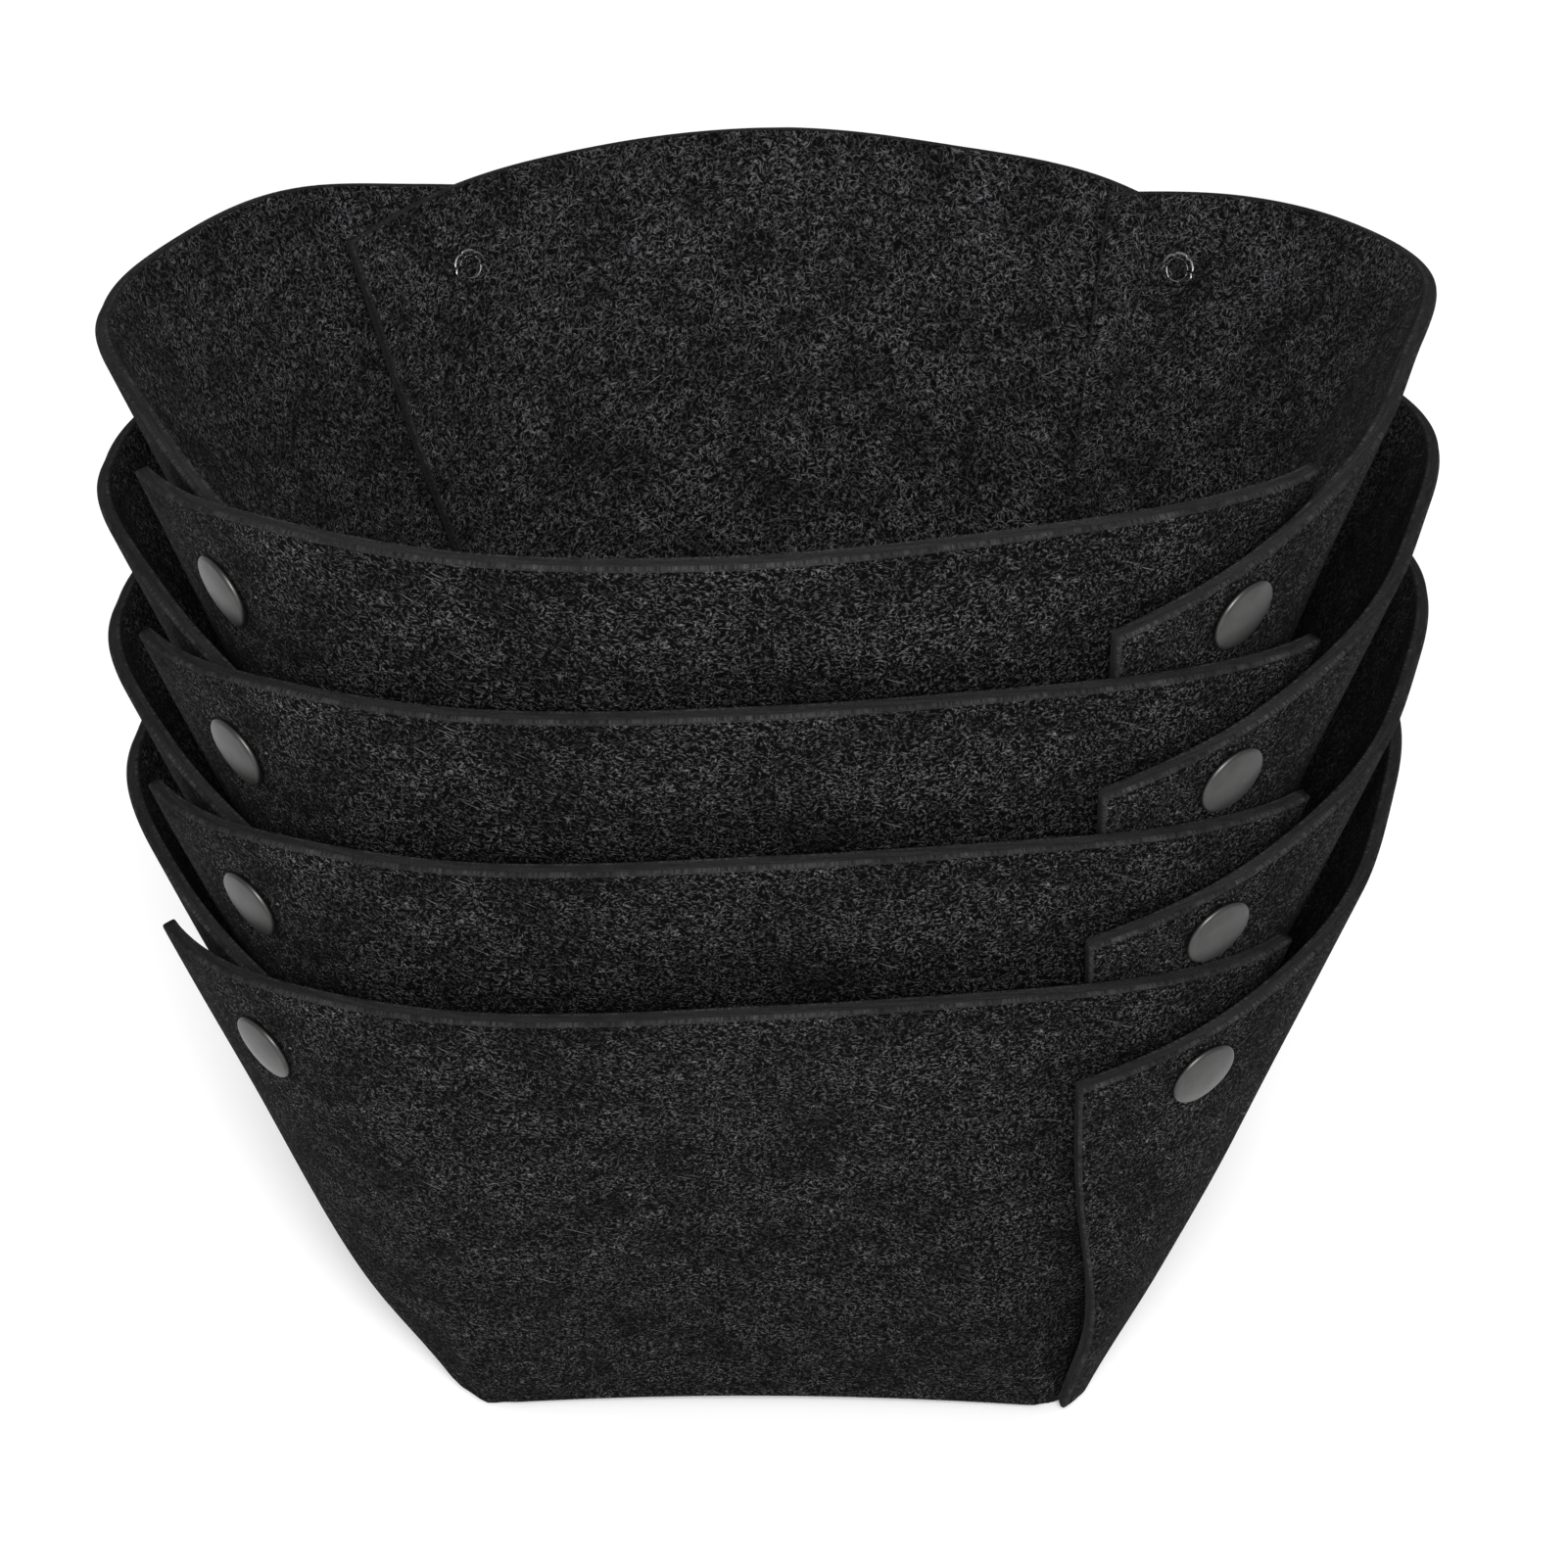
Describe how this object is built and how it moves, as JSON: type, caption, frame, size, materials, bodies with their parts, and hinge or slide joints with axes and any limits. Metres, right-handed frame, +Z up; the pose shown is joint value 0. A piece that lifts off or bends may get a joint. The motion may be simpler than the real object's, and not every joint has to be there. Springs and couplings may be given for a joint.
{
  "type": "fabric grow bag",
  "caption": "Nested stack of square felt grow bags with flared arched walls, lapped corners and press studs, for planting in a nursery or greenhouse.",
  "frame": {"origin": "centre of the bottom bag's base, on the floor it stands on", "axes": "+Z up out of the bags, +X and +Y square to the sides of the base; the pictured front faces -Y"},
  "size_m": [0.2768, 0.2768, 0.2367],
  "materials": {
    "felt": "matt charcoal needle-punched felt with light grey fibres",
    "cap_metal": "satin grey pressed steel",
    "stud_metal": "gunmetal plated pressed steel"
  },
  "bodies": {
    "bag_4": {"bag_4_felt": "felt", "bag_4_studs": "stud_metal", "bag_4_posts": "stud_metal"},
    "flap_a": {"bag_4_flap_a": "felt", "bag_4_cap_a": "cap_metal", "bag_4_socket_a": "stud_metal"},
    "flap_b": {"bag_4_flap_b": "felt", "bag_4_cap_b": "cap_metal", "bag_4_socket_b": "stud_metal"},
    "flap_c": {"bag_4_flap_c": "felt", "bag_4_cap_c": "cap_metal", "bag_4_socket_c": "stud_metal"},
    "flap_d": {"bag_4_flap_d": "felt", "bag_4_cap_d": "cap_metal", "bag_4_socket_d": "stud_metal"},
    "bag_3": {"bag_3_felt": "felt", "bag_3_caps": "cap_metal", "bag_3_sockets": "stud_metal", "bag_3_studs": "stud_metal", "bag_3_posts": "stud_metal"},
    "bag_2": {"bag_2_felt": "felt", "bag_2_caps": "cap_metal", "bag_2_sockets": "stud_metal", "bag_2_studs": "stud_metal", "bag_2_posts": "stud_metal"},
    "bag_1": {"bag_1_felt": "felt", "bag_1_caps": "cap_metal", "bag_1_sockets": "stud_metal", "bag_1_studs": "stud_metal", "bag_1_posts": "stud_metal"}
  },
  "joints": [
    {"name": "flap_a_fold", "type": "hinge", "parent": "bag_4", "child": "flap_a", "pos_m": [-0.06834, -0.07298, 0], "axis": [-0.0222, -0.339, 0.9405], "range_deg": [0, 100]},
    {"name": "flap_b_fold", "type": "hinge", "parent": "bag_4", "child": "flap_b", "pos_m": [0.07298, -0.06834, 0], "axis": [0.339, -0.0222, 0.9405], "range_deg": [0, 100]},
    {"name": "flap_c_fold", "type": "hinge", "parent": "bag_4", "child": "flap_c", "pos_m": [0.06834, 0.07298, 0], "axis": [0.0222, 0.339, 0.9405], "range_deg": [0, 100]},
    {"name": "flap_d_fold", "type": "hinge", "parent": "bag_4", "child": "flap_d", "pos_m": [-0.07298, 0.06834, 0], "axis": [-0.339, 0.0222, 0.9405], "range_deg": [0, 100]},
    {"name": "bag_3_lift", "type": "slide", "parent": "bag_4", "child": "bag_3", "axis": [0, 0, 1], "range_m": [0, 0.17]},
    {"name": "bag_2_lift", "type": "slide", "parent": "bag_3", "child": "bag_2", "axis": [0, 0, 1], "range_m": [0, 0.17]},
    {"name": "bag_1_lift", "type": "slide", "parent": "bag_2", "child": "bag_1", "axis": [0, 0, 1], "range_m": [0, 0.17]}
  ]
}
